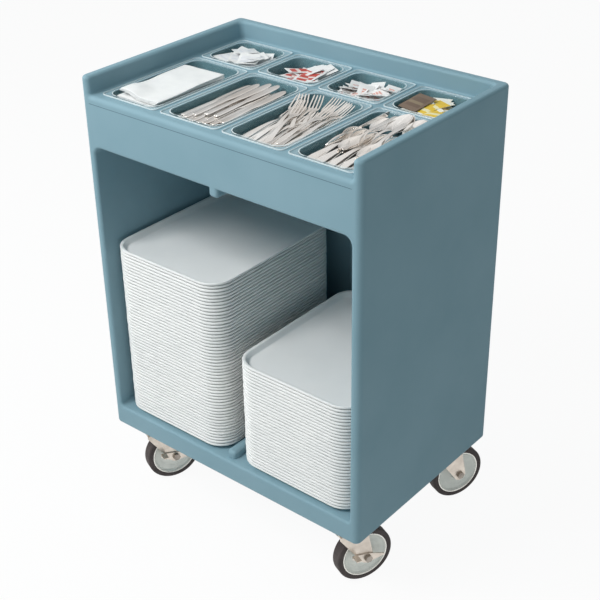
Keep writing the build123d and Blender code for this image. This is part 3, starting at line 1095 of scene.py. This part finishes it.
@dataclass
class PacketHeap:
    """Small paper packets tipped into one short pan."""

    node: str
    pan: str
    finish: Finish
    width: float
    length: float
    layers: int
    each: int
    tilt: float
    seed: int
    accent: Finish | None = None
    fullness: float = 1.6 * MM
    paper: float = 0.9 * MM
    floor_gap: float = 3 * MM
    turned: float = 35.0
    kept_in: float = 0.78
    least_room: float = 2 * MM
    below_rim: float = 8 * MM

    def packet(self) -> Piece:
        """One packet: two crimped ends and a filled middle.

        Returns:
            The pattern packet, centred on the origin.
        """
        piece = grid(f"{self.node}_pattern", 5, 7)
        with editing(piece):
            rows, lines = grouped(piece, 1), grouped(piece, 0)
            ends = rows[0] | rows[1] | rows[-1] | rows[-2]
            sides = lines[0] | lines[-1]
            bpy.ops.mesh.select_all(action="SELECT")
            bpy.ops.transform.resize(value=(self.width, self.length, 1), center_override=(0, 0, 0))
            pick(piece, lambda v: v.index not in ends and v.index not in sides)
            bpy.ops.transform.translate(value=(0, 0, self.fullness))
            middle = rows[3] | rows[4]
            pick(piece, lambda v: v.index in middle and v.index not in sides)
            bpy.ops.transform.translate(value=(0, 0, self.fullness * 0.5))
        apply_modifier(piece, "paper", "SOLIDIFY", thickness=self.paper, offset=0)
        smooth(piece, 40)
        return piece

    def build(self) -> None:
        """Model the heap in its pan."""
        low, high = room_in(self.pan, self.node, self.below_rim)
        pattern = self.packet()
        dress(pattern, self.finish)
        rng = random.Random(self.seed)
        reach = math.hypot(self.width, self.length) / 2 * self.kept_in
        middle = (low + high) / 2
        room_x = max(high.x - middle.x - reach, self.least_room)
        room_y = max(high.y - middle.y - reach, self.least_room)
        rise = (high.z - low.z - 2 * self.floor_gap) / self.layers
        parts = []
        for layer in range(self.layers):
            tilt = self.tilt if layer else 0.0
            for _ in range(self.each):
                yaw, pitch = rng.uniform(-self.turned, self.turned), rng.uniform(-tilt, tilt)
                x = middle.x + rng.uniform(-room_x, room_x)
                y = middle.y + rng.uniform(-room_y, room_y)
                z = low.z + self.floor_gap + (layer + rng.random()) * rise
                roll = rng.uniform(-tilt, tilt) * 0.6
                parts.append(copy_of(pattern, posed(x, y, z, yaw, pitch, roll)))
        bpy.data.objects.remove(pattern)
        if self.accent is not None:
            other = self.packet()
            other.data.transform(posed(low.x + 30 * MM, low.y + 56 * MM, high.z + 3 * MM, -4, 5, 3))
            dress(other, self.accent)
            parts.append(other)
        piece = joined(f"{self.node}_heap", parts)
        settle(piece, f"{self.pan}_set", [self.node])


CASTER_FINISHES = {
    Finish.PLATED: ("plate", "race", "fork", "brake"),
    Finish.FASTENER: ("kingpin", "axle", "bush"),
    Finish.HUB: ("hub",),
    Finish.TYRE: ("tyre",),
}


@dataclass
class Caster:
    """One swivel caster, whose metal, wheel and tyre keep their solid shapes."""

    name: str
    swivel: float = 23.0
    bead_radius: float = 60.6 * MM
    bead_thickness: float = 1.9 * MM
    bead_offset: float = 14.2 * MM

    def ring(self) -> None:
        """Put a pale bead round each face of the wheel's disc."""
        low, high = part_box(f"{self.name}_tyre")
        bpy.ops.object.select_all(action="DESELECT")
        bpy.ops.mesh.primitive_torus_add(
            major_radius=self.bead_radius, minor_radius=self.bead_thickness,
            major_segments=56, minor_segments=8,
        )
        bead = bpy.context.active_object
        turn = Euler((0, math.radians(90), math.radians(-self.swivel)), "XYZ").to_matrix().to_4x4()
        middle = Matrix.Translation((low + high) / 2) @ turn
        places = [Matrix.Translation((0, 0, side * self.bead_offset)) for side in (-1, 1)]
        beads = [copy_of(bead, middle @ place) for place in places]
        bpy.data.objects.remove(bead)
        piece = joined(f"{self.name}_wheel_bead", beads)
        smooth(piece, 60)
        dress(piece, Finish.BEAD)
        settle(piece, f"{self.name}_wheel", [])

    def build(self) -> None:
        """Dress every node of the caster and add the wheel's beads."""
        self.ring()
        for finish, parts in CASTER_FINISHES.items():
            for part in parts:
                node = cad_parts.get(f"{self.name}_{part}")
                if node is not None:
                    dress(node, finish)
        LOG.info("%s caster dressed", self.name)


@dataclass
class Studio:
    """Camera, lamps, pale floor and white surroundings."""

    target: Triple = (0.01231, -0.0188, 0.59821)
    azimuth: float = 39.98
    elevation: float = 30.13
    roll: float = -0.97
    distance: float = 3.09526
    lens: float = 73.85
    floor_glow: float = 0.94
    soft: Triple = (0.88, 1.0, 1.02)
    fill: float = 0.34
    horizon: float = 0.26
    zenith: float = 1.05

    def camera(self) -> None:
        """Put the camera where the photograph was taken from."""
        around, above = math.radians(self.azimuth), math.radians(self.elevation)
        flat = math.cos(above)
        back = Vector((math.sin(around) * flat, -math.cos(around) * flat, math.sin(above)))
        bpy.ops.object.camera_add()
        camera = bpy.context.active_object
        camera.data.lens = self.lens
        camera.data.sensor_width = 36
        right = (-back).cross(Vector((0, 0, 1))).normalized()
        up = right.cross(-back)
        lean = math.radians(self.roll)
        across = math.cos(lean) * right + math.sin(lean) * up
        over = -math.sin(lean) * right + math.cos(lean) * up
        turn = Matrix((across, over, back)).transposed()
        place = Vector(self.target) + back * self.distance
        camera.matrix_world = Matrix.Translation(place) @ turn.to_4x4()
        bpy.context.scene.camera = camera

    def lamp(self, name: str, place: Triple, size: float, power: float) -> None:
        """Add one soft square lamp that faces the cart.

        Args:
            name: The lamp's name.
            place: Where it stands, in metres.
            size: The side of its square.
            power: Its watts.
        """
        bpy.ops.object.light_add(type="AREA", location=place)
        lamp = bpy.context.active_object
        lamp.name = name
        lamp.data.size = size
        lamp.data.energy = power
        aim = Vector((0, 0, 0.7)) - Vector(place)
        lamp.rotation_euler = aim.to_track_quat("-Z", "Y").to_euler()

    def floor(self) -> None:
        """Lay a pale floor that keeps the cart's shadow and looks white to the camera."""
        bpy.ops.object.select_all(action="DESELECT")
        bpy.ops.mesh.primitive_plane_add(size=60, location=(0, 0, 0))
        floor = bpy.context.active_object
        floor.name = "studio_floor"
        recipe = Recipe("studio_floor")
        recipe.shade(Base_Color=(0.86, 0.86, 0.86), Roughness=0.9, Specular_IOR_Level=0.1)
        glow = recipe.node("ShaderNodeEmission", {"Strength": 1.0})
        path = recipe.node("ShaderNodeLightPath", {}).outputs
        seen = recipe.maths("MAXIMUM", path["Is Camera Ray"], path["Is Glossy Ray"])
        seen = recipe.maths("MAXIMUM", seen, path["Is Transmission Ray"])
        share = recipe.maths("MULTIPLY", seen, self.floor_glow)
        look = recipe.blend(share, recipe.shader.outputs["BSDF"], glow.outputs["Emission"])
        recipe.feed(recipe.output.inputs["Surface"], look)
        floor.data.materials.append(recipe.material)

    def world(self) -> None:
        """Light all round softly, and show white to the camera and to gloss."""
        world = bpy.data.worlds.new("studio_world")
        bpy.context.scene.world = world
        world.use_nodes = True
        world.node_tree.nodes.clear()
        nodes = Nodes(world.node_tree)
        path = nodes.node("ShaderNodeLightPath", {}).outputs
        height = nodes.split(nodes.node("ShaderNodeTexCoord", {}).outputs["Generated"])["Z"]
        sky = nodes.spread(height, self.horizon, self.zenith)
        level = nodes.node("ShaderNodeMix", {0: path["Is Camera Ray"], 2: sky, 3: 1.0}).outputs[0]
        soft = nodes.node("ShaderNodeBackground", {"Color": self.soft, "Strength": self.fill})
        white = nodes.node("ShaderNodeBackground", {"Color": (1, 1, 1), "Strength": level})
        share = nodes.maths("MAXIMUM", path["Is Camera Ray"], path["Is Glossy Ray"])
        look = nodes.blend(share, soft.outputs[0], white.outputs[0])
        nodes.node("ShaderNodeOutputWorld", {"Surface": look})

    def build(self) -> None:
        """Set the whole studio up."""
        self.camera()
        self.lamp("key", (-0.9, -2.3, 3.4), size=1.4, power=84.0)
        self.lamp("side", (-2.8, -0.8, 2.8), size=2.0, power=26.0)
        self.floor()
        self.world()
        bpy.context.scene.view_settings.view_transform = "Standard"


def dress_body() -> None:
    """Finish the moulded body and the bolts."""
    dress(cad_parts["cart_body"], Finish.BODY)
    dress(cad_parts["caster_bolts"], Finish.FASTENER)


def main() -> None:
    """Build every sub-assembly in order."""
    logging.basicConfig(level=logging.INFO)
    Studio().build()
    dress_body()
    for corner in ("front_left", "front_right", "back_left", "back_right"):
        Caster(corner).build()
    for number in range(1, 5):
        for kind in ("long", "short"):
            Pan(f"{kind}_pan_{number}").build()
    for load in (
        TrayStack("left", 53, seed=3),
        TrayStack("right", 33, seed=8),
        NapkinStack(),
        CutleryHeap(
            Cutlery.KNIFE, "long_pan_2", across=9, rise=4.6 * MM, spread=0.9, lean=0.8, reach=0.35,
            seed=11, bare=19 * MM, rolled=6.0, laid=KNIVES_ON_TOP,
        ),
        CutleryHeap(
            Cutlery.FORK, "long_pan_3", across=6, rise=4.8 * MM, spread=4.0, lean=3.0, reach=0.9,
            seed=21, bare=25 * MM, rolled=16.0, laid=FORKS_ON_TOP,
        ),
        CutleryHeap(
            Cutlery.SPOON, "long_pan_4", across=6, rise=5.0 * MM, spread=3.0, lean=3.0, reach=0.8,
            seed=31, bare=25 * MM, rolled=24.0, laid=SPOONS_ON_TOP,
        ),
        PacketHeap(
            "packets_white", "short_pan_1", Finish.WHITE_PACKET, width=52 * MM, length=60 * MM,
            layers=14, each=6, tilt=22, seed=41, below_rim=4 * MM,
        ),
        PacketHeap(
            "packets_long", "short_pan_2", Finish.RED_PACKET, width=40 * MM, length=100 * MM,
            layers=12, each=5, tilt=15, seed=42,
        ),
        PacketHeap(
            "packets_small", "short_pan_3", Finish.SPECKLED_PACKET, width=36 * MM, length=48 * MM,
            layers=13, each=11, tilt=30, seed=43,
        ),
        PacketHeap(
            "packets_yellow", "short_pan_4", Finish.YELLOW_PACKET, width=50 * MM, length=80 * MM,
            layers=13, each=5, tilt=12, seed=44, accent=Finish.BROWN_PACKET,
        ),
    ):
        load.build()


if __name__ == "__main__":
    main()
